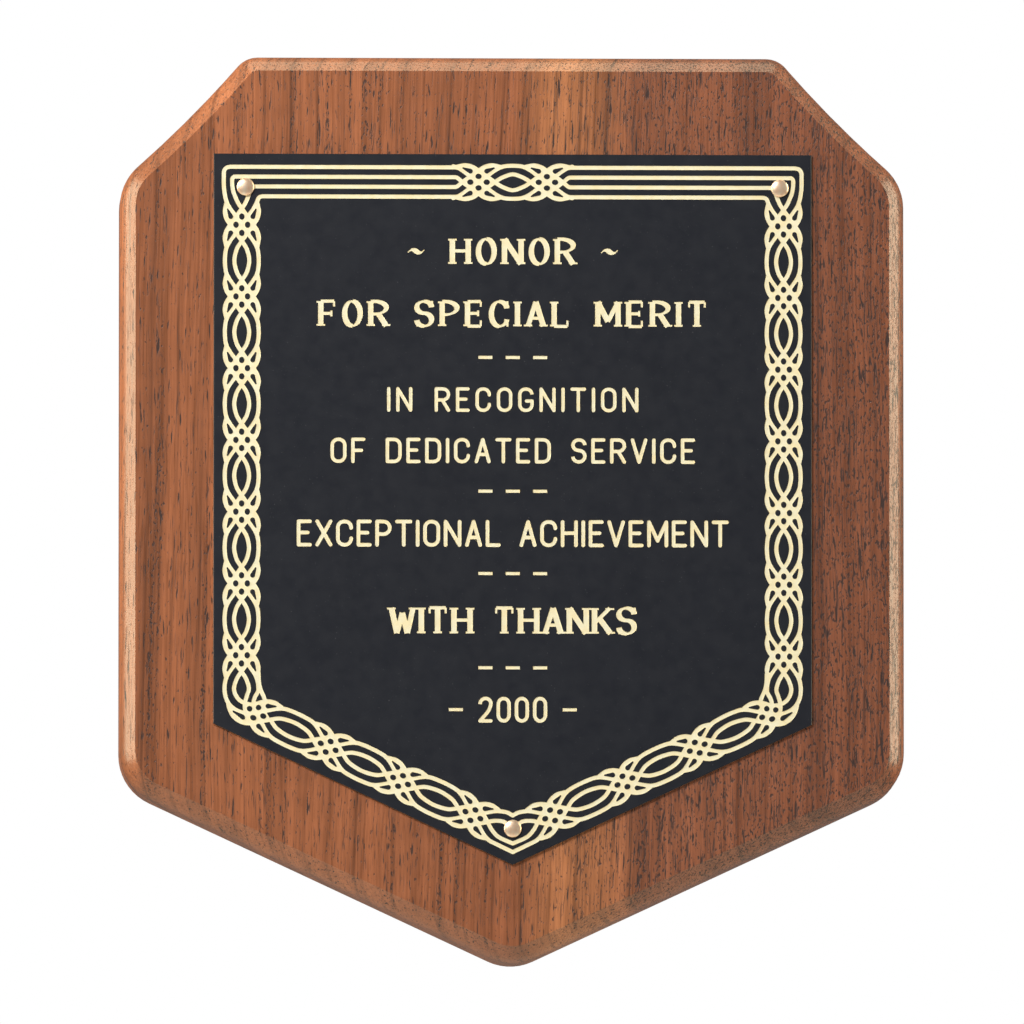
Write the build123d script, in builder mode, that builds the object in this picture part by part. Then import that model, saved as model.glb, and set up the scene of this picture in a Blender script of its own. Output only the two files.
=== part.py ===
from build123d import *
import math
import os

# A shield-shaped wall plaque: a solid board, an engraved brass plate on a film of tape, three
# plate pins, and a steel keyhole hanger let into the back with two countersunk screws.
# Millimetres. +Z is up, the plate faces -Y and the back lies in the wall plane, Y = 0.
# The origin is the centre of the hanger's entry hole, on the back.

INCH = 25.4

# Board
BOARD_WIDTH = 7 * INCH
BOARD_HEIGHT = 207.0  # top edge to the point, before the point is rounded
BOARD_THICKNESS = 0.75 * INCH
BOARD_TOP = 48.0  # the top edge, above the entry hole
CORNER_CUT = 28.5  # both legs of a clipped top corner
CORNER_CUT_BOW = 0.8  # how far a clipped corner bows inwards
POINT_DROP = 41.4  # from the end of a side down to the point
TOP_CORNER_RADIUS = 6.0
SIDE_CORNER_RADIUS = 12.0  # and the point's
BEVEL_PLAN = 3.5
BEVEL_DEPTH = 3.85
BEVEL_SHOULDER_RADIUS = 5.5  # where the bevel rolls over into the side
BACK_ARRIS = 0.8

# Engraved plate and the tape under it
PLATE_WIDTH = 135.5
PLATE_SIDE = 129.5
PLATE_POINT_DROP = 31.9
PLATE_MARGIN = 22.5  # of board above the plate
PLATE_THICKNESS = 0.6
PLATE_ARRIS = 0.12
TAPE_THICKNESS = 0.15
TAPE_INSET = 3.0

# Plate pins
PIN_SIDE_INSET = 7.2
PIN_TOP_INSET = 7.6
PIN_POINT_INSET = 8.2
PIN_HEAD_RADIUS = 2.0
PIN_HEAD_HEIGHT = 0.95
PIN_HEAD_RIM = 0.3
PIN_SHANK_RADIUS = 0.65
PIN_LENGTH = 9.5  # under the head
PIN_TIP = 1.6
PLATE_HOLE_RADIUS = 0.75

# Keyhole hanger and its pocket
HANGER_WIDTH = 16.0
HANGER_HEIGHT = 54.0
HANGER_CENTRE = 5.5  # above the entry hole
HANGER_THICKNESS = 1.5
HANGER_CORNER_RADIUS = 4.0
HANGER_CLEARANCE = 0.15
ENTRY_RADIUS = 4.75
SLOT_RADIUS = 2.25
SLOT_RISE = 12.0  # from the entry hole to the slot's round end
POCKET_WIDTH = 13.0
POCKET_HEIGHT = 28.0
POCKET_CENTRE = 6.0
POCKET_DEPTH = 9.0
POCKET_CORNER_RADIUS = 5.0

# Hanger screws, size 4 countersunk wood screws
SCREW_SPACING = 43.0
SCREW_HEAD_RADIUS = 2.7
SCREW_RADIUS = 1.4  # over the thread
SCREW_CORE_RADIUS = 1.0
SCREW_LENGTH = 9.5
SCREW_TIP = 2.4
SCREW_TIP_RADIUS = 0.12
SCREW_PITCH = 1.1
SCREW_SINK = 0.1  # the head's top, below the hanger's outer face
SCREW_PILOT_RADIUS = 1.5  # clears the underside of the head
SCREW_HOLE_RADIUS = 1.6
COUNTERSINK_RADIUS = 2.8
COUNTERSINK_ANGLE = 82.0
RECESS_SPAN = 2.9
RECESS_WIDTH = 0.62
RECESS_DEPTH = 1.3
RECESS_TAPER = 12.0

# Layers, counted from the wall towards the viewer, which is towards -Y
BOARD_FRONT = BOARD_THICKNESS
TAPE_FRONT = BOARD_FRONT + TAPE_THICKNESS
PLATE_FRONT = TAPE_FRONT + PLATE_THICKNESS

# Heights
BOARD_POINT = BOARD_TOP - BOARD_HEIGHT
PLATE_HEIGHT = PLATE_SIDE + PLATE_POINT_DROP
PLATE_TOP = BOARD_TOP - PLATE_MARGIN
PLATE_POINT = PLATE_TOP - PLATE_HEIGHT

PINS = {
    "plate_pin_top_left": (PIN_SIDE_INSET - PLATE_WIDTH / 2, PLATE_TOP - PIN_TOP_INSET),
    "plate_pin_top_right": (PLATE_WIDTH / 2 - PIN_SIDE_INSET, PLATE_TOP - PIN_TOP_INSET),
    "plate_pin_bottom": (0, PLATE_POINT + PIN_POINT_INSET),
}
SCREWS = {
    "hanger_screw_upper": HANGER_CENTRE + SCREW_SPACING / 2,
    "hanger_screw_lower": HANGER_CENTRE - SCREW_SPACING / 2,
}


def save(piece, name):
    """Label a finished piece and write it under its own name."""
    piece.part.label = name
    export_step(piece.part, f"parts/{name}.step")


def board_outline():
    """Draw the board's outline with sharp corners, clockwise from the top left."""
    half = BOARD_WIDTH / 2
    shoulder = BOARD_TOP - CORNER_CUT
    side_end = BOARD_POINT + POINT_DROP
    top_half = half - CORNER_CUT
    Line((-top_half, BOARD_TOP), (top_half, BOARD_TOP))
    SagittaArc((top_half, BOARD_TOP), (half, shoulder), -CORNER_CUT_BOW)
    Line((half, shoulder), (half, side_end))
    Line((half, side_end), (0, BOARD_POINT))
    Line((0, BOARD_POINT), (-half, side_end))
    Line((-half, side_end), (-half, shoulder))
    SagittaArc((-half, shoulder), (-top_half, BOARD_TOP), -CORNER_CUT_BOW)


def plate_outline():
    """Draw the engraved plate's five-sided outline."""
    half = PLATE_WIDTH / 2
    side_end = PLATE_TOP - PLATE_SIDE
    Polyline(
        (-half, PLATE_TOP),
        (half, PLATE_TOP),
        (half, side_end),
        (0, PLATE_POINT),
        (-half, side_end),
        close=True,
    )


def hanger_outline(clearance=0.0):
    """Draw the hanger's rounded strip, or the recess that it drops into."""
    with Locations((0, HANGER_CENTRE)):
        RectangleRounded(
            HANGER_WIDTH + 2 * clearance,
            HANGER_HEIGHT + 2 * clearance,
            HANGER_CORNER_RADIUS + clearance,
        )


def section_at(x, depth, z):
    """A plane for half sections about an axis along Y: +X leaves the axis, +Y points at the wall."""
    return Plane(origin=(x, -depth, z), x_dir=(1, 0, 0), z_dir=(0, 0, 1))


os.makedirs("parts", exist_ok=True)

# --- Board -----------------------------------------------------------------------------------
with BuildPart() as board:
    with BuildSketch(Plane.XZ):
        with BuildLine():
            board_outline()
        make_face()
        # A sketch's own Y is the board's height.
        below_top = BOARD_TOP - CORNER_CUT / 2
        fillet(vertices().filter_by_position(Axis.Y, BOARD_POINT, below_top), SIDE_CORNER_RADIUS)
        fillet(vertices().group_by(Axis.Y)[-1], TOP_CORNER_RADIUS)
    extrude(amount=BOARD_THICKNESS)

    # The front edge: a bevel that rolls over into the side, as a router bit leaves it.
    front = faces().sort_by(Axis.Y)[0]
    chamfer(front.edges(), length=BEVEL_PLAN, length2=BEVEL_DEPTH, reference=front)
    bevel_end = BEVEL_DEPTH - BOARD_FRONT
    fillet(edges().filter_by_position(Axis.Y, bevel_end, bevel_end), BEVEL_SHOULDER_RADIUS)
    chamfer(faces().sort_by(Axis.Y)[-1].edges(), BACK_ARRIS)

    # The hanger's recess, the pocket for the wall screw's head, and the two pilot holes.
    with BuildSketch(Plane.XZ):
        hanger_outline(HANGER_CLEARANCE)
    extrude(amount=HANGER_THICKNESS, mode=Mode.SUBTRACT)
    with BuildSketch(Plane.XZ):
        with Locations((0, POCKET_CENTRE)):
            RectangleRounded(POCKET_WIDTH, POCKET_HEIGHT, POCKET_CORNER_RADIUS)
    extrude(amount=POCKET_DEPTH, mode=Mode.SUBTRACT)
    with BuildSketch(Plane.XZ):
        with Locations(*[(0, z) for z in SCREWS.values()]):
            Circle(SCREW_PILOT_RADIUS)
    extrude(amount=SCREW_SINK + SCREW_LENGTH, mode=Mode.SUBTRACT)

    # Pilot holes for the plate pins, as deep as the pins reach.
    with BuildSketch(Plane.XZ.offset(BOARD_FRONT)):
        with Locations(*PINS.values()):
            Circle(PIN_SHANK_RADIUS)
    extrude(amount=-(PIN_LENGTH - TAPE_THICKNESS - PLATE_THICKNESS), mode=Mode.SUBTRACT)
save(board, "board")

# --- Tape under the plate --------------------------------------------------------------------
with BuildPart() as plate_adhesive:
    with BuildSketch(Plane.XZ.offset(BOARD_FRONT)):
        with BuildLine():
            plate_outline()
        make_face()
        offset(amount=-TAPE_INSET, kind=Kind.INTERSECTION)
        with Locations(*PINS.values()):
            Circle(PLATE_HOLE_RADIUS, mode=Mode.SUBTRACT)
    extrude(amount=TAPE_THICKNESS)
save(plate_adhesive, "plate_adhesive")

# --- Engraved plate --------------------------------------------------------------------------
with BuildPart() as engraved_plate:
    with BuildSketch(Plane.XZ.offset(TAPE_FRONT)):
        with BuildLine():
            plate_outline()
        make_face()
    extrude(amount=PLATE_THICKNESS)
    chamfer(faces().sort_by(Axis.Y)[0].edges(), PLATE_ARRIS)
    with BuildSketch(Plane.XZ.offset(TAPE_FRONT)):
        with Locations(*PINS.values()):
            Circle(PLATE_HOLE_RADIUS)
    extrude(amount=PLATE_THICKNESS, mode=Mode.SUBTRACT)
save(engraved_plate, "engraved_plate")

# --- Plate pins ------------------------------------------------------------------------------
for pin_name, (pin_x, pin_z) in PINS.items():
    with BuildPart() as plate_pin:
        with BuildSketch(section_at(pin_x, PLATE_FRONT, pin_z)):
            with BuildLine():
                dome = RadiusArc(
                    (PIN_HEAD_RADIUS, -PIN_HEAD_RIM),
                    (0, -PIN_HEAD_HEIGHT),
                    (PIN_HEAD_RADIUS**2 + (PIN_HEAD_HEIGHT - PIN_HEAD_RIM) ** 2)
                    / (2 * (PIN_HEAD_HEIGHT - PIN_HEAD_RIM)),
                )
                Polyline(
                    dome @ 1,
                    (0, PIN_LENGTH),
                    (PIN_SHANK_RADIUS, PIN_LENGTH - PIN_TIP),
                    (PIN_SHANK_RADIUS, 0),
                    (PIN_HEAD_RADIUS, 0),
                    dome @ 0,
                )
            make_face()
        revolve(axis=Axis((pin_x, -PLATE_FRONT, pin_z), (0, 1, 0)))
    save(plate_pin, pin_name)

# --- Keyhole hanger --------------------------------------------------------------------------
with BuildPart() as keyhole_hanger:
    with BuildSketch(Plane.XZ):
        hanger_outline()
        Circle(ENTRY_RADIUS, mode=Mode.SUBTRACT)
        with Locations((0, SLOT_RISE / 2)):
            Rectangle(2 * SLOT_RADIUS, SLOT_RISE, mode=Mode.SUBTRACT)
        with Locations((0, SLOT_RISE)):
            Circle(SLOT_RADIUS, mode=Mode.SUBTRACT)
    extrude(amount=HANGER_THICKNESS)
    with Locations(*[Plane(origin=(0, 0, z), z_dir=(0, 1, 0)) for z in SCREWS.values()]):
        CounterSinkHole(
            SCREW_HOLE_RADIUS,
            COUNTERSINK_RADIUS,
            depth=HANGER_THICKNESS,
            counter_sink_angle=COUNTERSINK_ANGLE,
        )
save(keyhole_hanger, "keyhole_hanger")

# --- Hanger screws ---------------------------------------------------------------------------
HEAD_DEPTH = (SCREW_HEAD_RADIUS - SCREW_CORE_RADIUS) / math.tan(math.radians(COUNTERSINK_ANGLE / 2))
THREAD_LENGTH = SCREW_LENGTH - SCREW_TIP - HEAD_DEPTH
THREAD_TURNS = int(THREAD_LENGTH / SCREW_PITCH)

for screw_name, screw_z in SCREWS.items():
    with BuildPart() as hanger_screw:
        # Depths are negative here: the screw is driven from the back, towards -Y.
        with BuildSketch(section_at(0, SCREW_SINK, screw_z)):
            with BuildLine():
                ridges = []
                for turn in range(THREAD_TURNS):
                    start = HEAD_DEPTH + turn * SCREW_PITCH
                    ridges.append((SCREW_CORE_RADIUS, -start))
                    ridges.append((SCREW_RADIUS, -(start + SCREW_PITCH / 2)))
                thread_end = HEAD_DEPTH + THREAD_TURNS * SCREW_PITCH
                Polyline(
                    (0, 0),
                    (SCREW_HEAD_RADIUS, 0),
                    *ridges,
                    (SCREW_CORE_RADIUS, -thread_end),
                    (SCREW_TIP_RADIUS, -SCREW_LENGTH),
                    (0, -SCREW_LENGTH),
                    close=True,
                )
            make_face()
        revolve(axis=Axis((0, -SCREW_SINK, screw_z), (0, 1, 0)))
        with BuildSketch(Plane(origin=(0, -SCREW_SINK, screw_z), x_dir=(1, 0, 0), z_dir=(0, -1, 0))):
            Rectangle(RECESS_SPAN, RECESS_WIDTH)
            Rectangle(RECESS_WIDTH, RECESS_SPAN)
        extrude(amount=RECESS_DEPTH, taper=RECESS_TAPER, mode=Mode.SUBTRACT)
    save(hanger_screw, screw_name)
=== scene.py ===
import math

import bmesh
import bpy
import numpy as np
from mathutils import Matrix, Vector
from mathutils.geometry import delaunay_2d_cdt


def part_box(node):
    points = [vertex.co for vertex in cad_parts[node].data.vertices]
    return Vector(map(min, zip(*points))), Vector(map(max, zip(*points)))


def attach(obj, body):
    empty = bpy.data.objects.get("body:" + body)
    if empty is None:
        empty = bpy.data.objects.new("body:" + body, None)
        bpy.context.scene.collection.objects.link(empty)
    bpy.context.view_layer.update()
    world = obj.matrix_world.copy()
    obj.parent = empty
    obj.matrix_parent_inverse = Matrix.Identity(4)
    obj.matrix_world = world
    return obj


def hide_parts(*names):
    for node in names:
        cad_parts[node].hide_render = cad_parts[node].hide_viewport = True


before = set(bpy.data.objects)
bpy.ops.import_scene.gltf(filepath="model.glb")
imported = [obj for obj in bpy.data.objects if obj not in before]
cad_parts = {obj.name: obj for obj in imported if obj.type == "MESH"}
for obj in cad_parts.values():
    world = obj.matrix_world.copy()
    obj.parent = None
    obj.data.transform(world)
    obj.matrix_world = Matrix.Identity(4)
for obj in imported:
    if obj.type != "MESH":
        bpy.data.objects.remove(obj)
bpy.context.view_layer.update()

# A walnut wall plaque. The board, the tape, the hanger and its screws are the CAD nodes with better
# materials. The plate, with everything that is engraved on it, and its three pins are new meshes.
MM = 0.001

# The engraved plate is drawn in millimetres: x from its centre line, y up from its top edge.
PLATE_LOW, PLATE_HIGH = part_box("engraved_plate")
PLATE_X = (PLATE_LOW.x + PLATE_HIGH.x) / 2
PLATE_HALF = (PLATE_HIGH.x - PLATE_LOW.x) / 2 / MM
PLATE_HEIGHT = (PLATE_HIGH.z - PLATE_LOW.z) / MM
PLATE_THICKNESS = (PLATE_HIGH.y - PLATE_LOW.y) / MM
PLATE_POINTS = [vertex.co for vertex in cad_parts["engraved_plate"].data.vertices]
SIDE_END = min(point.z for point in PLATE_POINTS if point.x > PLATE_HIGH.x - MM / 10)
PLATE_SIDE = (PLATE_HIGH.z - SIDE_END) / MM
SLOPE = math.atan2(PLATE_HEIGHT - PLATE_SIDE, PLATE_HALF)
PLATE_ARRIS = 0.12
GROOVE_DEPTH = 0.1
PIN_HOLE_RADIUS = 0.75
PIN_NODES = ("plate_pin_top_left", "plate_pin_top_right", "plate_pin_bottom")
LACQUER, CUT, SHEET = range(3)  # the plate's materials

# The pins and the meshes: lengths in metres, and shares of a pin's head.
PIN_SHANK_RADIUS = 0.65 * MM
PIN_TIP = 1.6 * MM
PIN_RIM = 0.3  # how much of the head's height is straight
PIN_FOOT = 0.985  # the head's radius where it meets the plate, beside its widest
JOIN_DISTANCE = 2e-7
CUT_TOLERANCE = 1e-5  # in millimetres

# The border is a band of four strands whose centre line keeps one distance from the edges.
BAND_INSET = 6.35
LINE_WIDTH = 0.93
ACROSS = 1.31  # between the crossings of a lattice, across the band
ALONG = 1.855  # and along it
OUTER = 3.84  # offsets of the outer and inner strands half way between two lattices
INNER = 1.69
TOP_PITCH = 2.235  # between the straight lines along the top
FIRST_LATTICE = 16.2  # below the plate's top edge
SIDE_STEP = 16.3
SIDE_LATTICES = 7
LOWER_STEP = 18.1
LOWER_LATTICES = 4
CORNER_SHIFT = 3.6  # from the band's corner to the lattice that turns it
KNOT_HALF = 7.75  # from the centre line to each lattice of the top knot
KNOT_REACH = 5.2  # from such a lattice to the straight lines
HOLE_RADII = (0.72, 0.62)  # of a lattice's four holes, along the band and across it
EYE_MARGIN = 0.8  # between the middle of an eye and the nearest other point of its strands
BEND_RADIUS = 5.4

KNOT_START = -KNOT_HALF - KNOT_REACH
BAND_X = BAND_INSET - PLATE_HALF
BAND_CORNER = PLATE_SIDE - BAND_INSET / math.cos(SLOPE) + BAND_INSET * math.tan(SLOPE)
BAND_TURN = math.pi / 2 - SLOPE
BEND_REACH = BEND_RADIUS * math.tan(BAND_TURN / 2)


# --- Drawing in the plane ----------------------------------------------------------------------
def smooth(points, steps=4):
    """A curve through the points: centripetal Catmull-Rom."""
    padded = [2 * Vector(points[0]) - Vector(points[1]), *map(Vector, points)]
    padded.append(2 * Vector(points[-1]) - Vector(points[-2]))
    curve = []
    for a, b, c, d in zip(padded, padded[1:], padded[2:], padded[3:]):
        before, here, after = ((q - p).length ** 0.5 for p, q in ((a, b), (b, c), (c, d)))
        leave = here * ((b - a) / before - (c - a) / (before + here) + (c - b) / here)
        arrive = here * ((c - b) / here - (d - b) / (here + after) + (d - c) / after)
        for step in range(steps):
            t = step / steps
            curve.append(
                (2 * t**3 - 3 * t**2 + 1) * b
                + (t**3 - 2 * t**2 + t) * leave
                + (3 * t**2 - 2 * t**3) * c
                + (t**3 - t**2) * arrive
            )
    return curve + [padded[-2]]


def rounded(points, radius, steps=6):
    """A path whose inner corners are rounded, by at most half of a leg between two corners."""
    points = [Vector(p) for p in points]
    path = [points[0]]
    for i in range(1, len(points) - 1):
        legs = []
        for j in (i - 1, i + 1):
            leg = points[j] - points[i]
            room = leg.length if j in (0, len(points) - 1) else leg.length / 2
            legs.append(leg.normalized() * min(radius, room))
        for step in range(steps + 1):
            turn = math.pi / 2 * step / steps
            path.append(points[i] + legs[0] * (1 - math.sin(turn)) + legs[1] * (1 - math.cos(turn)))
    return path + [points[-1]]


def cap(point, edge, steps=6):
    """Half a circle about the point, from one edge of a line round its end to the other."""
    side = edge - point
    out = Vector((side.y, -side.x))
    turns = [math.pi * step / steps for step in range(1, steps)]
    return [point + side * math.cos(turn) + out * math.sin(turn) for turn in turns]


def ribbon(path, width, round_ends=False):
    """The outline of a line along the path. width is a number, or a function of the direction."""
    left, right = [], []
    for i, point in enumerate(path):
        way = (path[min(i + 1, len(path) - 1)] - path[max(i - 1, 0)]).normalized()
        half = (width(way) if callable(width) else width) / 2
        side = Vector((-way.y, way.x)) * half
        left.append(point + side)
        right.append(point - side)
    if not round_ends:
        return left + right[::-1]
    return left + cap(path[-1], left[-1]) + right[::-1] + cap(path[0], right[0])


def ellipse(centre, radii, count=16):
    """The outline of an ellipse."""
    x, y = centre
    turns = [2 * math.pi * k / count for k in range(count)]
    return [Vector((x + radii[0] * math.cos(a), y + radii[1] * math.sin(a))) for a in turns]


def drop(big, big_radius, small, small_radius, steps=6):
    """The outline of a drop: half a circle at each end and straight sides."""
    big, small = Vector(big), Vector(small)
    way = (small - big).normalized()
    side = Vector((-way.y, way.x))
    outline = []
    for centre, radius, sign in ((big, big_radius, -1), (small, small_radius, 1)):
        for step in range(steps + 1):
            turn = math.pi * step / steps
            outline.append(centre + sign * radius * (way * math.sin(turn) - side * math.cos(turn)))
    return outline


# --- The interlaced border ---------------------------------------------------------------------
# Each shape starts from a lattice's centre: along the band, then out across it.
CROSSING = [(0, 0), (ALONG, ACROSS), (2 * ALONG, 2.68), (4.8, 3.3), (5.75, 3.62)]
ARCH = [(0, 2 * ACROSS), (1.4, 3.5), (2.9, 3.86), (4.1, 3.7)]
LOBE = [(-2 * ALONG, 0), (-ALONG, ACROSS), *ARCH, (5.2, 3.42)]
LOBE_SPAN = [(ALONG, ACROSS), *ARCH, (4.8, 3.3), (2 * ALONG, 2.68)]
LOBE_HOLE = ((1.86, 2.5), 0.56, (3.5, 3.2), 0.18)  # what drop() takes
EYELID = [(2 * ALONG, 0), (4.65, 0.66), (5.7, 1.2)]


class Border:
    """Collects the gold shapes of the border and the black holes inside them."""

    def __init__(self):
        self.gold = []
        self.holes = []

    def line(self, place, points, straight=False):
        """A gold strand through the points."""
        path = [Vector(p) for p in points] if straight else smooth(points)
        self.gold.append(ribbon([place(*p) for p in path], LINE_WIDTH, round_ends=True))

    def lobe(self, place):
        """A strand that arches from one crossing to the next, with a drop-shaped hole under it."""
        self.line(place, LOBE)
        self.gold.append([place(*p) for p in LOBE_SPAN])
        self.holes.append([place(*p) for p in drop(*LOBE_HOLE)])

    def lattice(self, place, at, skip=()):
        """The strands that cross at a lattice, with its round holes and its lobes."""
        crossing = [(-s, -u) for s, u in CROSSING[:0:-1]] + CROSSING
        for side in (-1, 1):
            self.line(lambda s, u: place(at + s, side * u), crossing)
            for way in (-1, 1):
                if (side, way) not in skip:
                    self.lobe(lambda s, u: place(at + way * s, side * u))
        rhombus = ((0, 2 * ACROSS), (2 * ALONG, 0), (0, -2 * ACROSS), (-2 * ALONG, 0))
        self.gold.append([place(at + s, u) for s, u in rhombus])
        for centre in ((ALONG, 0), (-ALONG, 0), (0, ACROSS), (0, -ACROSS)):
            self.holes.append([place(at + p.x, p.y) for p in ellipse(centre, HOLE_RADII)])

    def eye(self, place, start, end, outer=OUTER, inner=INNER):
        """The four strands from one lattice to the next."""
        middle = (start + end) / 2
        reach = (end - start) / 2 - EYE_MARGIN
        for side in (-1, 1):
            for shape, offset in ((CROSSING[2:], outer), (EYELID, inner)):
                near = [(s, u) for s, u in shape if s < reach]
                points = [(start + s, u) for s, u in near] + [(middle, offset)]
                points += [(end - s, u) for s, u in near[::-1]]
                self.line(lambda s, u: place(s, side * u), points)


def down_the_band(s, u):
    """A point of the left half: s along the band from the plate's top, u towards its middle."""
    if s < BAND_CORNER - BEND_REACH:
        return Vector((BAND_X + u, -s))
    if s > BAND_CORNER + BEND_REACH:
        past = s - BAND_CORNER
        return Vector((
            BAND_X + past * math.cos(SLOPE) + u * math.sin(SLOPE),
            -BAND_CORNER - past * math.sin(SLOPE) + u * math.cos(SLOPE),
        ))
    turn = (s - BAND_CORNER + BEND_REACH) / (2 * BEND_REACH) * BAND_TURN
    radius = BEND_RADIUS - u
    return Vector((
        BAND_X + BEND_RADIUS - radius * math.cos(turn),
        -(BAND_CORNER - BEND_REACH) - radius * math.sin(turn),
    ))


def along_the_top(s, u):
    """A point of the top band: s to the right of the centre line, u up from the band's own."""
    return Vector((s, u - BAND_INSET))


def from_the_lattice(x, y):
    """A point of the top left corner, from the centre of the first lattice, y up."""
    return Vector((BAND_X + x, y - FIRST_LATTICE))


def from_the_bend(x, y):
    """A point near the band's lower corner, from where its two centre lines meet, y up."""
    return Vector((BAND_X + x, y - BAND_CORNER))


def from_the_point(x, y):
    """A point near the plate's lower point, y up from it."""
    return Vector((x, y - PLATE_HEIGHT))


def top_knot(border):
    """The left half of the knot in the top band, and the curves that lead out of it."""
    border.lattice(along_the_top, -KNOT_HALF)
    border.eye(along_the_top, -KNOT_HALF, KNOT_HALF, outer=3.76, inner=1.82)
    start = KNOT_START
    for side in (-1, 1):
        outer, inner = side * TOP_PITCH * 1.5, side * TOP_PITCH / 2
        border.line(along_the_top, [(start, outer), (start + 0.6, side * 3.2), (start + 1.5, side * 2.68)])
        border.line(along_the_top, [(start, inner), (start + 0.4, side * 0.95), (start + 1.5, 0)])


def top_lines(border):
    """The four straight lines of the top band, and the corner that they turn down round."""
    middle = FIRST_LATTICE - BAND_INSET
    first, second, third, fourth = (middle + TOP_PITCH * k for k in (1.5, 0.5, -0.5, -1.5))
    for height, start in ((first, -2.6), (second, -1.7), (third, 0.6), (fourth, 4.6)):
        ends = [(start, height), (KNOT_START - BAND_X, height)]
        border.line(from_the_lattice, ends, straight=True)
    near = 2 * ALONG
    border.line(from_the_lattice, [
        (-2.6, first), (-3.5, first - 0.25), (-4.02, first - 0.95), (-4.1, first - 2.2),
        (-4.05, 8.2), (-3.62, 5.75), (-3.3, 4.8), (-2.68, near),
    ])
    border.line(from_the_lattice, [
        (-1.7, second), (-2.12, second - 0.35), (-2.2, second - 1.6), (-1.95, 7.6),
        (-1.2, 5.7), (-0.66, 4.65), (0, near),
    ])
    border.line(from_the_lattice, [(1.9, third - 1.0), (1.35, 6.2), (0.7, 4.75), (0, near)])
    border.line(from_the_lattice, [(4.6, fourth), (3.9, fourth - 0.3), (3.3, 4.9), (2.68, near)])


def half_heart(border, last):
    """The strands from the last lattice to the plate's point, round the lower pin."""
    ends = {}
    for name, offset in (("low", -1), ("high", 1)):
        strand = [down_the_band(last + s, offset * u) for s, u in CROSSING[3:]]
        ends[name] = [(p.x, p.y + PLATE_HEIGHT) for p in strand]
    tip = down_the_band(last + 2 * ALONG, 0)
    tip = (tip.x, tip.y + PLATE_HEIGHT)
    outer_low = ends["low"] + [(-3.4, 4.55), (0, 2.9)]
    inner_low = [tip, (-4.9, 8.2), (-3.4, 6.45), (0, 4.85)]
    inner_high = [tip, (-4.9, 9.9), (-3.6, 10.0), (-2.25, 9.85), (-1.2, 9.3)]
    outer_high = ends["high"] + [(-1.2, 11.85), (0, 11.2)]
    for points in (outer_low, inner_low, inner_high, outer_high):
        border.line(from_the_point, points)


def left_border():
    """The left half of the border."""
    border = Border()
    stations = [FIRST_LATTICE + SIDE_STEP * k for k in range(SIDE_LATTICES)]
    stations += [BAND_CORNER + CORNER_SHIFT + LOWER_STEP * k for k in range(LOWER_LATTICES)]
    for station in stations:
        at_corner = abs(station - BAND_CORNER) < LOWER_STEP / 2
        border.lattice(down_the_band, station, skip=((1, -1),) if at_corner else ())
    for start, end in zip(stations, stations[1:]):
        border.eye(down_the_band, start, end)
    top_knot(border)
    top_lines(border)
    # Where the band turns at its lower corner, the inner strand also runs on into the notch.
    border.line(from_the_bend, [(OUTER, 7.5), (4.0, 5.0), (4.45, 3.4), (5.0, 2.2), (5.3, 1.3)])
    half_heart(border, stations[-1])
    return border


def mirrored(shapes):
    """The shapes and their mirror images."""
    return shapes + [[Vector((-p.x, p.y)) for p in shape] for shape in shapes]


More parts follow.
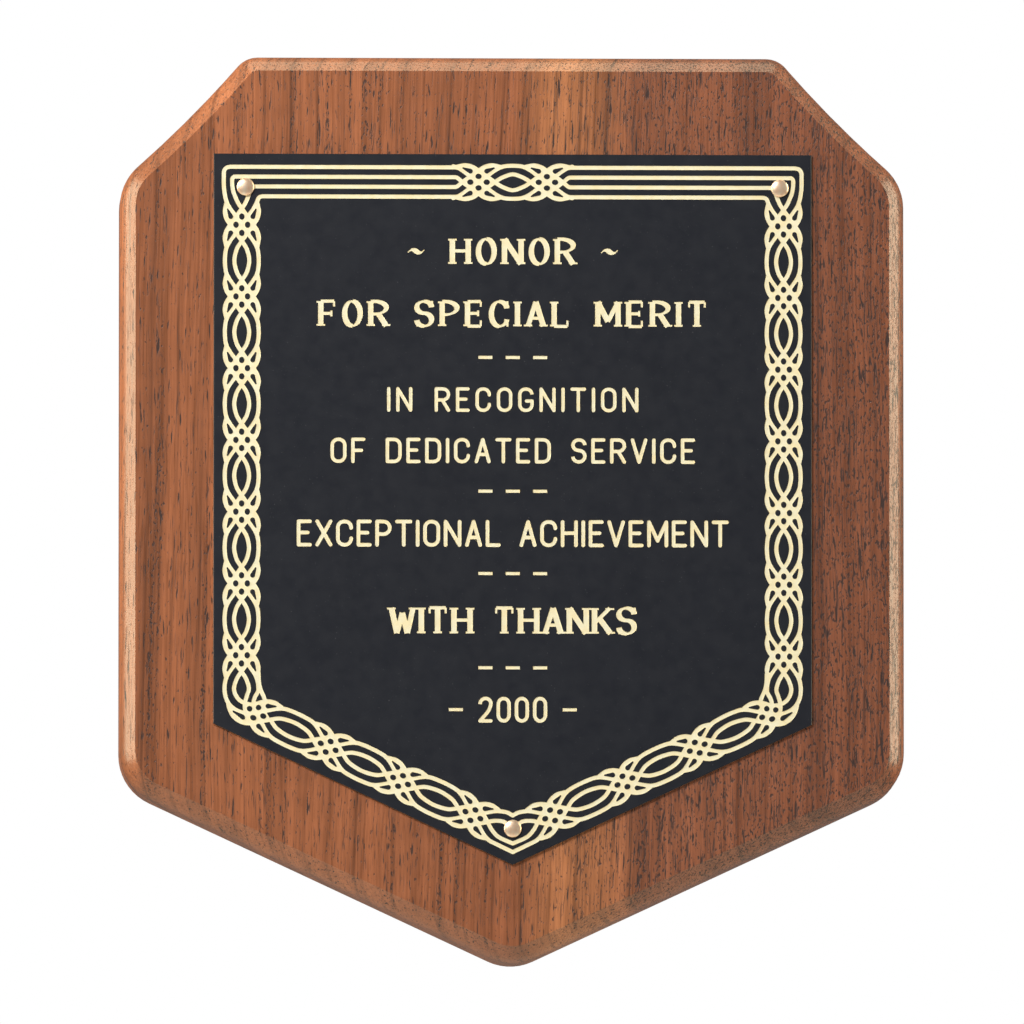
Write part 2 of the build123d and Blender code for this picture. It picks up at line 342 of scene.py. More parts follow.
# --- Lettering ---------------------------------------------------------------------------------
# Each letter's width beside an H's, and its strokes on a unit box. Corners inside a stroke are rounded.
GLYPHS = {
    "A": (1.0, [[(0, 0), (0.5, 1)], [(0.5, 1), (1, 0)], [(0.18, 0.33), (0.82, 0.33)]]),
    "C": (1.0, [[(1, 0.72), (1, 1), (0, 1), (0, 0), (1, 0), (1, 0.28)]]),
    "D": (1.0, [[(0, 0), (0, 1)], [(0, 0), (1, 0), (1, 1), (0, 1)]]),
    "E": (0.85, [[(0, 0), (0, 1)], [(0, 1), (1, 1)], [(0, 0.52), (0.8, 0.52)], [(0, 0), (1, 0)]]),
    "F": (0.85, [[(0, 0), (0, 1)], [(0, 1), (1, 1)], [(0, 0.5), (0.8, 0.5)]]),
    "G": (1.0, [[(1, 0.74), (1, 1), (0, 1), (0, 0), (1, 0), (1, 0.44)], [(1, 0.44), (0.55, 0.44)]]),
    "H": (1.0, [[(0, 0), (0, 1)], [(1, 0), (1, 1)], [(0, 0.52), (1, 0.52)]]),
    "I": (0.0, [[(0, 0), (0, 1)]]),
    "K": (1.0, [[(0, 0), (0, 1)], [(0, 0.4), (0.95, 1)], [(0.3, 0.6), (1, 0)]]),
    "L": (0.85, [[(0, 0), (0, 1)], [(0, 0), (1, 0)]]),
    "M": (1.3, [[(0, 0), (0, 1)], [(0, 1), (0.5, 0.2)], [(0.5, 0.2), (1, 1)], [(1, 1), (1, 0)]]),
    "N": (1.05, [[(0, 0), (0, 1)], [(0, 1), (1, 0)], [(1, 0), (1, 1)]]),
    "O": (1.0, [[(0.5, 1), (0, 1), (0, 0), (0.5, 0)], [(0.5, 0), (1, 0), (1, 1), (0.5, 1)]]),
    "P": (0.95, [[(0, 0), (0, 1)], [(0, 1), (1, 1), (1, 0.46), (0, 0.46)]]),
    "R": (1.0, [[(0, 0), (0, 1)], [(0, 1), (1, 1), (1, 0.48), (0, 0.48)], [(0.5, 0.48), (1, 0)]]),
    "S": (0.95, [[(1, 0.76), (1, 1), (0, 1), (0, 0.52), (1, 0.52), (1, 0), (0, 0), (0, 0.24)]]),
    "T": (1.0, [[(0.5, 0), (0.5, 1)], [(0, 1), (1, 1)]]),
    "V": (1.05, [[(0, 1), (0.5, 0)], [(0.5, 0), (1, 1)]]),
    "W": (1.35, [[(0, 1), (0.26, 0)], [(0.26, 0), (0.5, 0.8)], [(0.5, 0.8), (0.74, 0)], [(0.74, 0), (1, 1)]]),
    "X": (1.0, [[(0, 0), (1, 1)], [(0, 1), (1, 0)]]),
    "0": (0.84, [[(0.5, 1), (0, 1), (0, 0), (0.5, 0)], [(0.5, 0), (1, 0), (1, 1), (0.5, 1)]]),
    "2": (0.84, [[(0, 0.74), (0, 1), (1, 1), (1, 0.55), (0, 0)], [(0, 0), (1, 0)]]),
    " ": (0.6, []),
}
# Widths and weights, as shares of the capital height.
GOTHIC = {"width": 0.57, "weight": 0.16, "round": 0.27, "serifs": False}
ROMAN = {"width": 0.63, "weight": 0.225, "round": 0.5, "serifs": True}
NIB_TILT = math.radians(18)
NIB_EDGE = 0.38  # the pen's own thickness, as a share of its width
TOUCHING = 0.04  # how near a stroke's end is to another stroke that it meets
NEARLY = 0.02  # how far from the line or from upright still counts as on it
STEEP = 0.6  # how much of its run a stroke must rise to stand on a slab
SLAB_HALF = 0.17
SLAB_WEIGHT = 0.075
SLAB_INSET = 0.035  # from the end of the stroke to the middle of its slab
BEAK_WEIGHT = 0.085
BEAK_HALF = 0.12  # on an arm half way up
FOOT_BEAK = 0.24
TOP_BEAK = 0.22
SPUR_SHIFT = 0.02

# Each row: words, style, the middle's distance below the plate's top, capital height, width.
ROWS = [
    ("HONOR", ROMAN, 22.1, 5.7, 27.4),
    ("FOR SPECIAL MERIT", ROMAN, 36.3, 5.6, 87.0),
    ("IN RECOGNITION", GOTHIC, 55.8, 4.85, 56.2),
    ("OF DEDICATED SERVICE", GOTHIC, 67.4, 5.0, 81.8),
    ("EXCEPTIONAL ACHIEVEMENT", GOTHIC, 86.2, 5.3, 97.0),
    ("WITH THANKS", ROMAN, 106.0, 5.8, 55.0),
    ("2000", GOTHIC, 126.2, 5.1, 14.8),
]
DASH_ROWS = (46.2, 76.6, 95.3, 116.7)
DASH_STEP = 6.2
DASH_LENGTH = 3.2
DASH_WEIGHT = 0.72
YEAR_DASH_X = 12.9
TILDE = [(-1.8, -0.25), (-1.2, 0.25), (-0.5, 0.28), (0.5, -0.28), (1.2, -0.25), (1.8, 0.25)]
TILDE_X = 21.9
TILDE_WEIGHT = 0.75


def on_a_path(point, path):
    """True if the point lies on the path."""
    for a, b in zip(path, path[1:]):
        along = max(0, min(1, (point - a).dot(b - a) / max((b - a).length_squared, 1e-9)))
        if (a + (b - a) * along - point).length < TOUCHING:
            return True
    return False


def slab(end):
    """A slab across the end of an upright stroke."""
    middle = end + Vector((0, SLAB_INSET if end.y < 0.5 else -SLAB_INSET))
    reach = Vector((SLAB_HALF, 0))
    return [middle - reach, middle + reach], SLAB_WEIGHT


def beak(end, on_line):
    """An upright beak at the free end of a level arm."""
    start = end.y if on_line else end.y - BEAK_HALF
    if end.y < 0.1:
        finish = end.y + FOOT_BEAK
    elif end.y > 0.9:
        finish = end.y - TOP_BEAK
    else:
        finish = end.y + BEAK_HALF
    return [Vector((end.x, start)), Vector((end.x, finish))], BEAK_WEIGHT


def spur(end):
    """An upright from the free end of a curve to just past the letter's top or foot."""
    limit = 1 + SPUR_SHIFT if end.y > 0.5 else -SPUR_SHIFT
    return [Vector((end.x + SPUR_SHIFT, y)) for y in (end.y, limit)], BEAK_WEIGHT


def serifs(paths):
    """Serifs for the ends of a letter's strokes, as short lines with a weight."""
    bars = []
    for i, path in enumerate(paths):
        others = paths[:i] + paths[i + 1:]
        for end, inner in ((path[0], path[1]), (path[-1], path[-2])):
            way = end - inner
            upright = abs(way.x) < NEARLY * abs(way.y)
            free = not any(on_a_path(end, other) for other in others)
            on_line = min(end.y, 1 - end.y) < NEARLY
            if on_line and abs(way.y) > abs(way.x) * STEEP:
                if upright or free:
                    bars.append(slab(end))
            elif free and abs(way.x) > abs(way.y):
                bars.append(beak(end, on_line))
            elif free:
                bars.append(spur(end))
    return bars


def pen(way, weight):
    """How broad a stroke in this direction comes out with a flat pen."""
    tilt = abs(math.sin(math.atan2(way.y, way.x) - NIB_TILT))
    return weight * (NIB_EDGE + (1 - NIB_EDGE) * tilt)


def letter(char, style):
    """A letter's outlines for a capital one unit high, and its width."""
    share, strokes = GLYPHS[char]
    width = share * style["width"]
    paths = [[Vector((x * width, y)) for x, y in stroke] for stroke in strokes]
    curves = [rounded(path, style["round"]) for path in paths]
    if not style["serifs"]:
        return [ribbon(curve, style["weight"], round_ends=True) for curve in curves], width
    shapes = [ribbon(curve, lambda way: pen(way, style["weight"])) for curve in curves]
    shapes += [ribbon(bar, weight) for bar, weight in serifs(curves)]
    return shapes, width


def text_row(words, style, middle, height, width):
    """A row of letters, spaced out to its full width and centred on the plate."""
    letters = [letter(char, style) for char in words]
    gap = (width / height - sum(w for _, w in letters)) / (len(letters) - 1)
    x = -width / 2
    shapes = []
    for outlines, letter_width in letters:
        for outline in outlines:
            places = [(x + p.x * height, (p.y - 0.5) * height - middle) for p in outline]
            shapes.append([Vector(place) for place in places])
        x += (letter_width + gap) * height
    return shapes


def dash(x, middle):
    """A short bar."""
    ends = [Vector((x - DASH_LENGTH / 2, -middle)), Vector((x + DASH_LENGTH / 2, -middle))]
    return ribbon(ends, DASH_WEIGHT)


def lettering():
    """Every word, dash and flourish on the plate."""
    shapes = []
    for row in ROWS:
        shapes += text_row(*row)
    for middle in DASH_ROWS:
        shapes += [dash(DASH_STEP * k, middle) for k in (-1, 0, 1)]
    shapes += [dash(side * YEAR_DASH_X, ROWS[-1][2]) for side in (-1, 1)]
    for side in (-1, 1):
        path = smooth([(side * TILDE_X + x, y - ROWS[0][2]) for x, y in TILDE])
        shapes.append(ribbon(path, lambda way: TILDE_WEIGHT * (1 - way.y), round_ends=True))
    return shapes


# --- Meshes ------------------------------------------------------------------------------------
def inside(outline, spots):
    """Which of the spots the outline goes round at least once."""
    turns = np.zeros(len(spots), int)
    for a, b in zip(outline, outline[1:] + outline[:1]):
        side = (b.x - a.x) * (spots[:, 1] - a.y) - (spots[:, 0] - a.x) * (b.y - a.y)
        turns += (a.y <= spots[:, 1]) & (spots[:, 1] < b.y) & (side > 0)
        turns -= (b.y <= spots[:, 1]) & (spots[:, 1] < a.y) & (side < 0)
    return turns != 0


def triangulate(groups):
    """Cut the plane along overlapping outlines: points, triangles, and which lie in each group."""
    points, edges = [], []
    for outline in sum(groups.values(), []):
        first = len(points)
        points += [Vector(p[:2]) for p in outline]
        last = len(points) - 1
        edges += [(i, i + 1) for i in range(first, last)] + [(last, first)]
    points, _, triangles, *_ = delaunay_2d_cdt(points, edges, [], 0, CUT_TOLERANCE)
    places = np.array(points)
    middles = places[np.array(triangles)].mean(axis=1)
    member = {}
    for name, outlines in groups.items():
        member[name] = np.zeros(len(triangles), bool)
        for outline in outlines:
            low, high = np.min(outline, axis=0), np.max(outline, axis=0)
            near = np.flatnonzero(((middles >= low) & (middles <= high)).all(axis=1))
            member[name][near[inside(outline, middles[near])]] = True
    return points, triangles, member


def plate_outline(inset):
    """The plate's five corners, moved in from its edges."""
    x = PLATE_HALF - inset
    side_end = -PLATE_SIDE + inset / math.cos(SLOPE) - inset * math.tan(SLOPE)
    point = -PLATE_HEIGHT + inset / math.cos(SLOPE)
    return [Vector(p) for p in ((-x, -inset), (x, -inset), (x, side_end), (0, point), (-x, side_end))]


def new_piece(name, mesh, replaced, materials):
    """Put a finished mesh in the scene as a piece of the part."""
    piece = bpy.data.objects.new(name, mesh)
    bpy.context.scene.collection.objects.link(piece)
    for material in materials:
        mesh.materials.append(material)
    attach(piece, "root")
    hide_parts(*replaced)


def pin_centres():
    """The pins' axes, in the plate's drawing."""
    centres = []
    for node in PIN_NODES:
        low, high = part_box(node)
        middle = (low + high) / 2
        centres.append(((middle.x - PLATE_X) / MM, (middle.z - PLATE_HIGH.z) / MM))
    return centres


def corner(build, point, depth):
    """A vertex of the plate: a point of its drawing, at a depth under its face."""
    place = (PLATE_X + point.x * MM, PLATE_LOW.y + depth * MM, PLATE_HIGH.z + point.y * MM)
    return build.verts.new(place)


def panel(build, corners, material):
    """A face of the plate; each of its corners is a point of the drawing and a depth."""
    face = build.faces.new([corner(build, point, depth) for point, depth in corners])
    face.material_index = material


def wall(build, a, b, depth, material):
    """An upright face from the plate's front down to a depth, along the line from a to b."""
    panel(build, [(a, 0), (b, 0), (b, depth), (a, depth)], material)


def engraved_front(build, drawing):
    """The front with its lines sunk into it. Returns its outer edges and the pin holes' edges."""
    points, triangles, member = triangulate(drawing)
    kept = member["face"] & ~member["pin"]
    sunk = member["gold"] & ~member["hole"]
    floor_edges, open_edges = set(), set()
    for triangle, keep, cut in zip(triangles, kept, sunk):
        if not keep:
            continue
        depth, material = (GROOVE_DEPTH, CUT) if cut else (0, LACQUER)
        panel(build, [(points[i], depth) for i in triangle], material)
        edges = set(zip(triangle, triangle[1:] + triangle[:1]))
        open_edges |= edges
        if cut:
            floor_edges |= edges
    for a, b in floor_edges:
        if (b, a) not in floor_edges:
            wall(build, points[a], points[b], GROOVE_DEPTH, CUT)
    return [(points[a], points[b]) for a, b in open_edges if (b, a) not in open_edges]


def plate_edges(build):
    """The lacquered arris round the face, and the sheared brass edge below it."""
    levels = ((PLATE_ARRIS, 0), (0, PLATE_ARRIS), (0, PLATE_THICKNESS))
    rings = [[(point, depth) for point in plate_outline(inset)] for inset, depth in levels]
    for upper, lower, material in zip(rings, rings[1:], (LACQUER, SHEET)):
        for i in range(len(upper)):
            j = (i + 1) % len(upper)
            panel(build, [upper[i], upper[j], lower[j], lower[i]], material)


def plate_back(build, open_edges):
    """The back, and the walls of the pin holes between it and the front."""
    holes = []
    for centre in map(Vector, pin_centres()):
        hole = [(a, b) for a, b in open_edges if (a - centre).length < 2 * PIN_HOLE_RADIUS]
        for a, b in hole:
            wall(build, a, b, PLATE_THICKNESS, SHEET)
        spokes = sorted((a - centre for a, _ in hole), key=lambda p: math.atan2(p.y, p.x))
        holes.append([centre + spoke for spoke in spokes])
    points, triangles, member = triangulate({"back": [plate_outline(0)], "pin": holes})
    for triangle, pinned in zip(triangles, member["pin"]):
        if not pinned:
            panel(build, [(points[i], PLATE_THICKNESS) for i in triangle], SHEET)


def finished(build, name):
    """The mesh of what was built, with its corners joined and its faces turned outwards."""
    bmesh.ops.remove_doubles(build, verts=build.verts, dist=JOIN_DISTANCE)
    bmesh.ops.recalc_face_normals(build, faces=build.faces)
    mesh = bpy.data.meshes.new(name)
    build.to_mesh(mesh)
    build.free()
    return mesh


def plate_mesh():
    """The plate, with every line of the border and the lettering cut into its face."""
    border = left_border()
    build = bmesh.new()
    open_edges = engraved_front(build, {
        "face": [plate_outline(PLATE_ARRIS)],
        "gold": mirrored(border.gold) + lettering(),
        "hole": mirrored(border.holes),
        "pin": [ellipse(centre, (PIN_HOLE_RADIUS, PIN_HOLE_RADIUS)) for centre in pin_centres()],
    })
    plate_edges(build)
    plate_back(build, open_edges)
    return finished(build, "engraved_plate_face")


def turned(profile, centre, segments=48):
    """A profile of (radius, y) turned about an axis along Y."""
    build = bmesh.new()
    rows = []
    for radius, y in profile:
        turns = [2 * math.pi * k / segments for k in range(segments if radius > 0 else 1)]
        spokes = [(radius * math.cos(turn), radius * math.sin(turn)) for turn in turns]
        rows.append([build.verts.new((centre.x + x, y, centre.z + z)) for x, z in spokes])
    for upper, lower in zip(rows, rows[1:]):
        for k in range(segments):
            around = ((upper, k), (upper, k + 1), (lower, k + 1), (lower, k))
            loop = [row[i % len(row)] for row, i in around]
            build.faces.new(list(dict.fromkeys(loop)))
    for face in build.faces:
        face.smooth = True
    return build


def pin_mesh(node, rings=10):
    """A domed pin, to the size of its CAD node."""
    low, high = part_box(node)
    head_radius = (high.x - low.x) / 2
    dome = (PLATE_LOW.y - low.y) * (1 - PIN_RIM)
    profile = [(0.0, low.y)]
    for k in range(1, rings + 1):
        turn = math.pi / 2 * k / rings
        profile.append((head_radius * math.sin(turn), low.y + dome * (1 - math.cos(turn))))
    profile += [
        (head_radius * PIN_FOOT, PLATE_LOW.y),
        (PIN_SHANK_RADIUS, PLATE_LOW.y),
        (PIN_SHANK_RADIUS, high.y - PIN_TIP),
        (0.0, high.y),
    ]
    return finished(turned(profile, (low + high) / 2), node + "_head")


# --- Materials ---------------------------------------------------------------------------------
WAVER = 9.0  # mm: how far a line of equal share strays
SHARE_START = 90.0  # mm left of the board's middle
SHARE_WIDTH = 190.0  # mm
GRAIN_LEAN = math.radians(-0.75)
RING_SLANT = math.radians(24)
RING_STEP = 5.6  # mm
PORE_COLOUR = (0.022, 0.012, 0.011)
WANDER_SIZE = (55, 55, 95)  # mm: how broad the bends of the grain are
WANDER_REACH = (7, 5, 0)  # mm
# The colour from the board's left edge to its right: darker towards the right overall, with a lighter upright
# band just right of the middle.
COLOUR_ACROSS = [
    (0.0, (0.335, 0.110, 0.044)), (0.3, (0.35, 0.116, 0.047)), (0.5, (0.30, 0.099, 0.041)),
    (0.555, (0.41, 0.152, 0.060)), (0.60, (0.385, 0.14, 0.056)), (0.65, (0.282, 0.095, 0.044)),
    (0.85, (0.255, 0.084, 0.040)), (1.0, (0.28, 0.091, 0.042)),
]


def add(tree, kind, inputs=None, **settings):
    """Add a node; an input's value is a number, a colour, or another node's output."""
    node = tree.nodes.new("ShaderNode" + kind)
    for name, value in settings.items():
        setattr(node, name, value)
    for name, value in (inputs or {}).items():
        if isinstance(value, bpy.types.NodeSocket):
            tree.links.new(value, node.inputs[name])
        else:
            node.inputs[name].default_value = value
    return node


def new_material(name, **values):
    """A material with one Principled shader, and the place on the object in millimetres."""
    material = bpy.data.materials.new(name)
    material.use_nodes = True
    tree = material.node_tree
    shader = tree.nodes["Principled BSDF"]
    for socket, value in values.items():
        shader.inputs[socket.replace("_", " ")].default_value = value
    place = add(tree, "TexCoord").outputs["Object"]
    scaled = add(tree, "VectorMath", {0: place, 1: (1 / MM, 1 / MM, 1 / MM)}, operation="MULTIPLY")
    return material, tree, shader, scaled.outputs[0]


def stretched(tree, vector, sizes):
    """The vector divided by a size along each axis."""
    factors = tuple(1 / size for size in sizes)
    return add(tree, "VectorMath", {0: vector, 1: factors}, operation="MULTIPLY").outputs[0]


def noise(tree, vector, sizes, detail=2.0, roughness=0.5):
    """Noise whose features are about the given sizes along X, Y and Z."""
    values = {"Scale": 1.0, "Detail": detail, "Roughness": roughness}
    values["Vector"] = stretched(tree, vector, sizes)
    return add(tree, "TexNoise", values).outputs["Fac"]


def ramp(tree, value, stops):
    """A colour ramp: stops are (position, colour or grey)."""
    node = add(tree, "ValToRGB", {"Fac": value})
    elements = node.color_ramp.elements
    while len(elements) < len(stops):
        elements.new(0.5)
    for element, (position, colour) in zip(elements, stops):
        element.position = position
        element.color = (*colour, 1) if isinstance(colour, tuple) else (colour, colour, colour, 1)
    return node.outputs["Color"]


def maths(tree, operation, a, b=0.5, clamp=False):
    """The result of one sum. A sum of one number takes no notice of b."""
    return add(tree, "Math", {0: a, 1: b}, operation=operation, use_clamp=clamp).outputs[0]


def mixed(tree, factor, a, b, blend="MIX"):
    """Mix two colours, or colour them together."""
    node = add(tree, "Mix", data_type="RGBA", blend_type=blend, clamp_factor=True)
    # On a Mix node of colours, inputs 6 and 7 are the colours and output 2 is the result.
    for socket, value in ((0, factor), (6, a), (7, b)):
        if isinstance(value, bpy.types.NodeSocket):
            tree.links.new(value, node.inputs[socket])
        else:
            node.inputs[socket].default_value = (*value, 1) if isinstance(value, tuple) else value
    return node.outputs[2]


def bump(tree, shader, height, distance, strength):
    """Raise the surface by a height, whose full range stands for a distance."""
    node = add(tree, "Bump", {"Height": height, "Distance": distance, "Strength": strength})
    tree.links.new(node.outputs["Normal"], shader.inputs["Normal"])


def feed(tree, shader, **sockets):
    """Link outputs to the shader's inputs, by name."""
    for name, value in sockets.items():
        tree.links.new(value, shader.inputs[name.replace("_", " ")])


def log_place(tree, place):
    """The place in the log: the grain leans and wanders a little, and rings slant through the board."""
    turn = (0, GRAIN_LEAN, RING_SLANT)
    leaning = add(tree, "Mapping", {"Vector": place, "Rotation": turn}).outputs[0]
    broad = stretched(tree, place, WANDER_SIZE)
    wander = add(tree, "TexNoise", {"Vector": broad, "Scale": 1.0, "Detail": 1.0})
    half = (0.5, 0.5, 0.5)
    centred = add(tree, "VectorMath", {0: wander.outputs["Color"], 1: half}, operation="SUBTRACT").outputs[0]
    shift = add(tree, "VectorMath", {0: centred, 1: WANDER_REACH}, operation="MULTIPLY").outputs[0]
    return add(tree, "VectorMath", {0: leaning, 1: shift}, operation="ADD").outputs[0]


def share_across(tree, place):
    """0 at the board's left edge and 1 at its right, along lines that waver."""
    x = add(tree, "SeparateXYZ", {"Vector": place}).outputs["X"]
    wavering = maths(tree, "ADD", x, maths(tree, "MULTIPLY", noise(tree, place, (30, 30, 80)), WAVER))
    return maths(tree, "DIVIDE", maths(tree, "ADD", wavering, SHARE_START), SHARE_WIDTH, clamp=True)


def ringed_wood(tree, grain, share, ring):
    """The wood's colour across the board, darker towards its right overall, with its growth rings."""
    colour = ramp(tree, share, COLOUR_ACROSS)
    broad = noise(tree, grain, (5.5, 30, 500), detail=3, roughness=0.6)
    broad = ramp(tree, broad, [(0.3, 0.70), (0.5, 0.98), (0.72, 1.18)])
    colour = mixed(tree, 1.0, colour, broad, "MULTIPLY")
    # The thin dark line where each year ends is faint in some places and strong in others.
    year = ramp(tree, ring, [(0.0, 0.96), (0.55, 1.07), (0.84, 0.94), (0.93, 0.5), (1.0, 0.9)])
    strength = ramp(tree, noise(tree, grain, (9, 30, 60)), [(0.38, 0.1), (0.62, 0.95)])
    return mixed(tree, 1.0, colour, mixed(tree, strength, (1, 1, 1), year), "MULTIPLY")


def long_pores(tree, grain, share, ring):
    """Upright dashes, long and fine, with more of them in the early wood."""
    early = ramp(tree, ring, [(0.0, 1.0), (0.35, 0.4), (1.0, 0.1)])
    season = maths(tree, "MULTIPLY", early, 0.05)
    dense = ramp(tree, share, [(0.0, 0.045), (0.52, 0.05), (0.66, 0.085), (1.0, 0.09)])
    dashes = maths(tree, "ADD", noise(tree, grain, (0.48, 0.48, 4.2), detail=1.0), season)
    dashes = ramp(tree, maths(tree, "ADD", dashes, dense), [(0.71, 0.0), (0.79, 1.0)])
    fine = maths(tree, "ADD", noise(tree, grain, (0.28, 0.28, 7.0), detail=0.0), dense)
    fine = ramp(tree, fine, [(0.74, 0.0), (0.84, 0.7)])
    return maths(tree, "MAXIMUM", dashes, fine)


def short_pores(tree, grain, share, columns):
    """Short dashes, crowded on the board's right and in the narrow upright columns."""
    crowd = ramp(tree, share, [(0.0, 0.0), (0.5, 0.02), (0.7, 0.11), (1.0, 0.135)])
    crowd = maths(tree, "MAXIMUM", crowd, ramp(tree, columns, [(0.54, 0.0), (0.70, 0.15)]))
    dashes = maths(tree, "ADD", noise(tree, grain, (0.42, 0.42, 1.0), detail=1.0), crowd)
    return ramp(tree, dashes, [(0.69, 0.0), (0.78, 0.9)])


def walnut():
    """Satin-lacquered walnut: upright grain, growth rings, fibres and dark pores."""
    material, tree, shader, place = new_material("walnut", Coat_Weight=0.25, Coat_Roughness=0.22, IOR=1.45)
    grain = log_place(tree, place)
    share = share_across(tree, place)
    depth_in_log = add(tree, "SeparateXYZ", {"Vector": grain}).outputs["X"]
    ring = maths(tree, "FRACT", maths(tree, "DIVIDE", depth_in_log, RING_STEP))
    fibres = noise(tree, grain, (0.45, 0.45, 26), detail=3, roughness=0.65)
    fibres = ramp(tree, fibres, [(0.25, 0.64), (0.5, 1.0), (0.75, 1.22)])
    mottle = ramp(tree, noise(tree, place, (14, 14, 5), detail=2), [(0.3, 0.94), (0.7, 1.06)])
    columns = noise(tree, grain, (1.2, 7, 150), detail=1.0)
    shaded = ramp(tree, columns, [(0.56, 1.0), (0.72, 0.72)])
    colour = ringed_wood(tree, grain, share, ring)
    for layer in (fibres, mottle, shaded):
        colour = mixed(tree, 1.0, colour, layer, "MULTIPLY")
    pores = maths(
        tree, "MAXIMUM", long_pores(tree, grain, share, ring), short_pores(tree, grain, share, columns)
    )
    colour = mixed(tree, maths(tree, "MULTIPLY", pores, 0.92), colour, PORE_COLOUR)
    gloss = maths(tree, "ADD", maths(tree, "MULTIPLY", pores, 0.22), maths(tree, "MULTIPLY", fibres, 0.36))
    feed(tree, shader, Base_Color=colour, Roughness=gloss)
    height = maths(tree, "SUBTRACT", maths(tree, "MULTIPLY", fibres, 0.35), pores)
    bump(tree, shader, height, 0.06 * MM, 0.6)
    return material


def black_lacquer():
    """Satin black lacquer on flat metal, with a faint peel and specks of dust."""
    material, tree, shader, place = new_material("black_lacquer", Specular_IOR_Level=0.35)
    cloud = noise(tree, place, (18, 18, 18), detail=3)
    base = ramp(tree, cloud, [(0.3, (0.0085, 0.0098, 0.0158)), (0.7, (0.0092, 0.0107, 0.017))])
    specks = ramp(tree, noise(tree, place, (0.32, 0.32, 0.32), detail=0), [(0.80, 0.0), (0.84, 1.0)])
    feed(tree, shader, Base_Color=mixed(tree, maths(tree, "MULTIPLY", specks, 0.5), base, (0.10, 0.10, 0.11)))
    peel = noise(tree, place, (3, 3, 3), detail=4)
    feed(tree, shader, Roughness=ramp(tree, peel, [(0.3, 0.40), (0.7, 0.5)]))
    bump(tree, shader, noise(tree, place, (0.25, 0.25, 0.25), detail=2), 0.004 * MM, 0.5)
    return material


def cut_brass():
    """The bright floor of the engraving: pale brass, broken up by the cutter's fine marks."""
    material, tree, shader, place = new_material("cut_brass", Metallic=0.12, Specular_IOR_Level=0.6)
    marks = noise(tree, place, (0.5, 0.5, 0.06), detail=2)
    patches = noise(tree, place, (2.5, 2.5, 2.5), detail=2)
    tone = ramp(tree, patches, [(0.3, (1.0, 0.86, 0.53)), (0.7, (1.0, 0.93, 0.68))])
    shade = ramp(tree, marks, [(0.3, 0.94), (0.7, 1.0)])
    feed(tree, shader, Base_Color=mixed(tree, 1.0, tone, shade, "MULTIPLY"))
    feed(tree, shader, Roughness=ramp(tree, marks, [(0.3, 0.34), (0.7, 0.5)]))
    bump(tree, shader, marks, 0.01 * MM, 0.5)
    return material


def sheet_brass():
    """The sheared edges and the back of the plate."""
    material, tree, shader, place = new_material("sheet_brass", Metallic=1.0)
    rolled = noise(tree, place, (0.15, 0.15, 9), detail=3)
    feed(tree, shader, Base_Color=ramp(tree, rolled, [(0.3, (0.48, 0.34, 0.15)), (0.7, (0.68, 0.5, 0.25))]))
    feed(tree, shader, Roughness=ramp(tree, rolled, [(0.3, 0.3), (0.7, 0.48)]))
    bump(tree, shader, rolled, 0.01 * MM, 0.4)
    return material


def pin_brass():
    """Polished pins with fine scratches and warm, faintly tarnished patches."""
    material, tree, shader, place = new_material("pin_brass", Metallic=0.75)
    tarnish = noise(tree, place, (0.9, 0.9, 0.9), detail=3)
    feed(tree, shader, Base_Color=ramp(tree, tarnish, [(0.3, (1.0, 0.62, 0.40)), (0.7, (1.0, 0.82, 0.62))]))
    scratches = noise(tree, place, (0.9, 0.9, 0.05), detail=2)
    feed(tree, shader, Roughness=ramp(tree, scratches, [(0.3, 0.28), (0.7, 0.42)]))
    bump(tree, shader, scratches, 0.01 * MM, 0.3)
    return material


def zinc():
    """Bright zinc plate on pressed steel, drawn lengthwise, with dull patches."""
    material, tree, shader, place = new_material("zinc_plate", Metallic=1.0)
    drawn = noise(tree, place, (0.12, 0.12, 7), detail=3)
    patches = noise(tree, place, (4, 4, 4), detail=4, roughness=0.6)
    base = ramp(tree, patches, [(0.3, (0.50, 0.50, 0.49)), (0.7, (0.70, 0.70, 0.67))])
    streaks = ramp(tree, drawn, [(0.3, 0.85), (0.7, 1.0)])
    feed(tree, shader, Base_Color=mixed(tree, 1.0, base, streaks, "MULTIPLY"))
    feed(tree, shader, Roughness=ramp(tree, patches, [(0.3, 0.27), (0.7, 0.45)]))
    bump(tree, shader, drawn, 0.012 * MM, 0.5)
    return material


def tape():
    """Off-white double-sided tape with a faint crepe."""
    material, tree, shader, place = new_material("tape_film", Roughness=0.6)
    crepe = noise(tree, place, (0.6, 0.6, 0.12), detail=3)
    feed(tree, shader, Base_Color=ramp(tree, crepe, [(0.3, (0.70, 0.69, 0.63)), (0.7, (0.80, 0.79, 0.74))]))
    bump(tree, shader, crepe, 0.01 * MM, 0.5)
    return material


# --- Pieces ------------------------------------------------------------------------------------
def repaint(node, material):
    """Give a CAD node a better material."""
    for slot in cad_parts[node].material_slots:
        slot.material = material


def build_pieces():
    """Add the plate and its pins, and give the CAD nodes that stay their materials."""
    new_piece(
        "engraved_plate_face",
        plate_mesh(),
        ["engraved_plate"],
        [black_lacquer(), cut_brass(), sheet_brass()],
    )
    brass = pin_brass()
    for node in PIN_NODES:
        new_piece(node + "_turned", pin_mesh(node), [node], [brass])
    repaint("board", walnut())
    repaint("plate_adhesive", tape())
    metal = zinc()
    for node in ("keyhole_hanger", "hanger_screw_upper", "hanger_screw_lower"):
        repaint(node, metal)


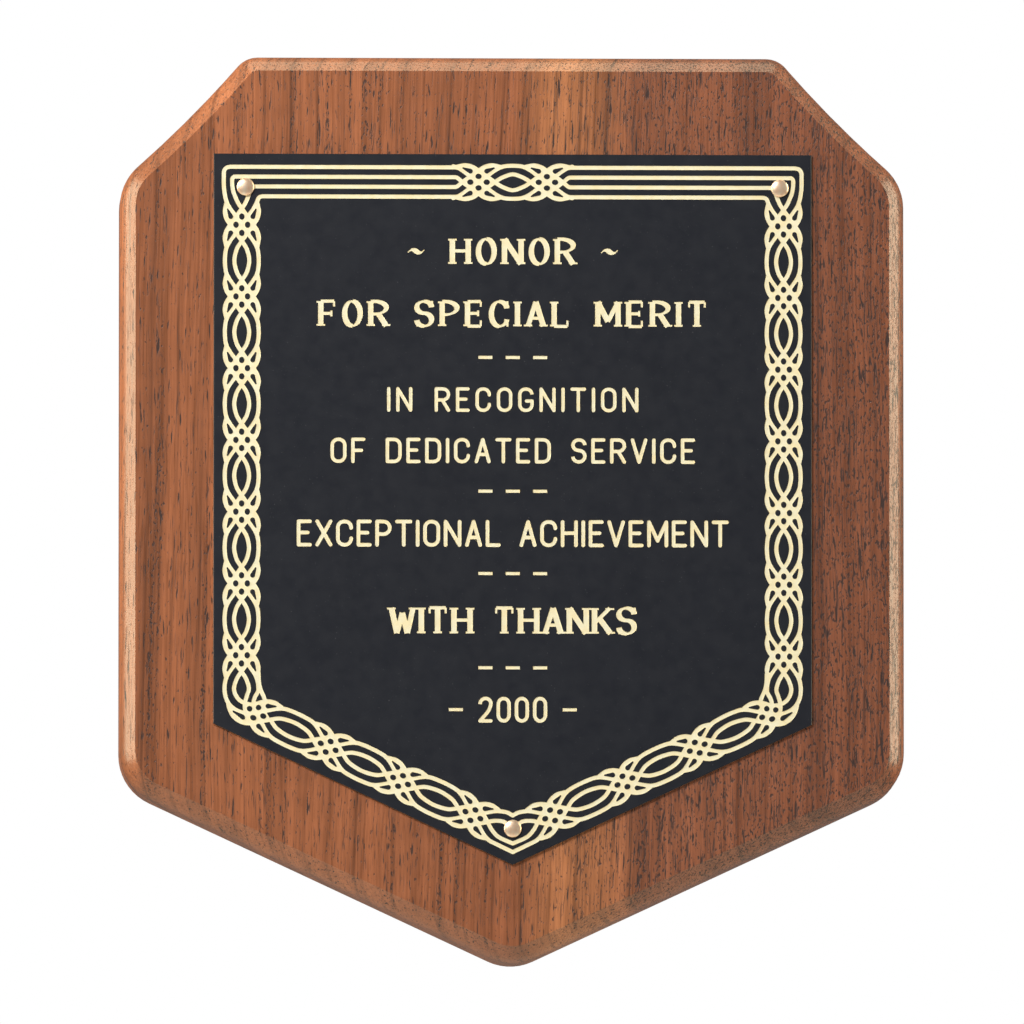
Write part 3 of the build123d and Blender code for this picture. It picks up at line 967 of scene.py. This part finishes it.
# --- Stage, light and camera -------------------------------------------------------------------
BOARD_LOW, BOARD_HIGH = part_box("board")
MIDDLE = (BOARD_LOW + BOARD_HIGH) / 2
FLOOR_HALF = 4.0
FLOOR_DROP = 0.8
WARM = (0.96, 0.91, 0.66)
WORLD_LIGHT = 0.14
CAMERA_DISTANCE = 6.0
FIELD_WIDTH = 0.23185  # what the picture spans at the board's face
VIEW_LEFT = math.radians(1.85)
VIEW_BELOW = math.radians(4.7)
AIM = Vector((MIDDLE.x - 0.00013, BOARD_LOW.y, MIDDLE.z - 0.0009))


def build_floor():
    """A pale floor, well below the plaque, which hangs free."""
    material, tree, shader, place = new_material("studio_floor", Roughness=0.8)
    grain = noise(tree, place, (60, 60, 60), detail=3)
    feed(tree, shader, Base_Color=ramp(tree, grain, [(0.3, (0.80, 0.80, 0.79)), (0.7, (0.83, 0.83, 0.82))]))
    mesh = bpy.data.meshes.new("studio_floor")
    build = bmesh.new()
    bmesh.ops.create_grid(build, x_segments=8, y_segments=8, size=FLOOR_HALF)
    build.to_mesh(mesh)
    build.free()
    mesh.materials.append(material)
    floor = bpy.data.objects.new("studio_floor", mesh)
    floor.location = (0, 0, BOARD_LOW.z - FLOOR_DROP)
    bpy.context.scene.collection.objects.link(floor)


def add_softbox(name, offset, size, power, colour=(1, 1, 1)):
    """An area light at an offset from the middle of the board, facing it."""
    light = bpy.data.lights.new(name, "AREA")
    light.shape = "RECTANGLE"
    light.size, light.size_y = size
    light.energy = power
    light.color = colour
    lamp = bpy.data.objects.new(name, light)
    lamp.location = MIDDLE + Vector(offset)
    lamp.rotation_euler = Vector(offset).to_track_quat("Z", "Y").to_euler()
    bpy.context.scene.collection.objects.link(lamp)


def build_light():
    """Softboxes at both sides and above; the world is white to the eye and dim as light."""
    add_softbox("softbox_left", (-1.0, -0.06, 0.25), (0.5, 1.0), 14, WARM)
    add_softbox("softbox_right", (1.0, -0.03, 0.25), (0.5, 1.0), 14, WARM)
    add_softbox("softbox_top", (0.0, 0.14, 1.0), (1.2, 0.35), 5.5, WARM)
    add_softbox("key", (-0.75, -1.1, 0.8), (0.6, 0.6), 23)
    world = bpy.data.worlds.new("studio")
    world.use_nodes = True
    tree = world.node_tree
    seen = add(tree, "Background", {"Color": (1, 1, 1, 1), "Strength": 1.0})
    felt = add(tree, "Background", {"Color": (1, 1, 1, 1), "Strength": WORLD_LIGHT})
    path = add(tree, "LightPath")
    both = add(tree, "MixShader", {0: path.outputs["Is Camera Ray"], 1: felt.outputs[0], 2: seen.outputs[0]})
    tree.links.new(both.outputs[0], tree.nodes["World Output"].inputs["Surface"])
    bpy.context.scene.world = world


def build_camera():
    """A long lens far away, a little to the left of the board and below it."""
    back = Vector((
        -math.sin(VIEW_LEFT) * math.cos(VIEW_BELOW),
        -math.cos(VIEW_LEFT) * math.cos(VIEW_BELOW),
        -math.sin(VIEW_BELOW),
    ))
    data = bpy.data.cameras.new("camera")
    data.lens = data.sensor_width * CAMERA_DISTANCE / FIELD_WIDTH
    camera = bpy.data.objects.new("camera", data)
    camera.location = AIM + back * CAMERA_DISTANCE
    camera.rotation_euler = back.to_track_quat("Z", "Y").to_euler()
    bpy.context.scene.collection.objects.link(camera)
    bpy.context.scene.camera = camera


build_pieces()
build_floor()
build_light()
build_camera()
bpy.context.scene.view_settings.view_transform = "Standard"
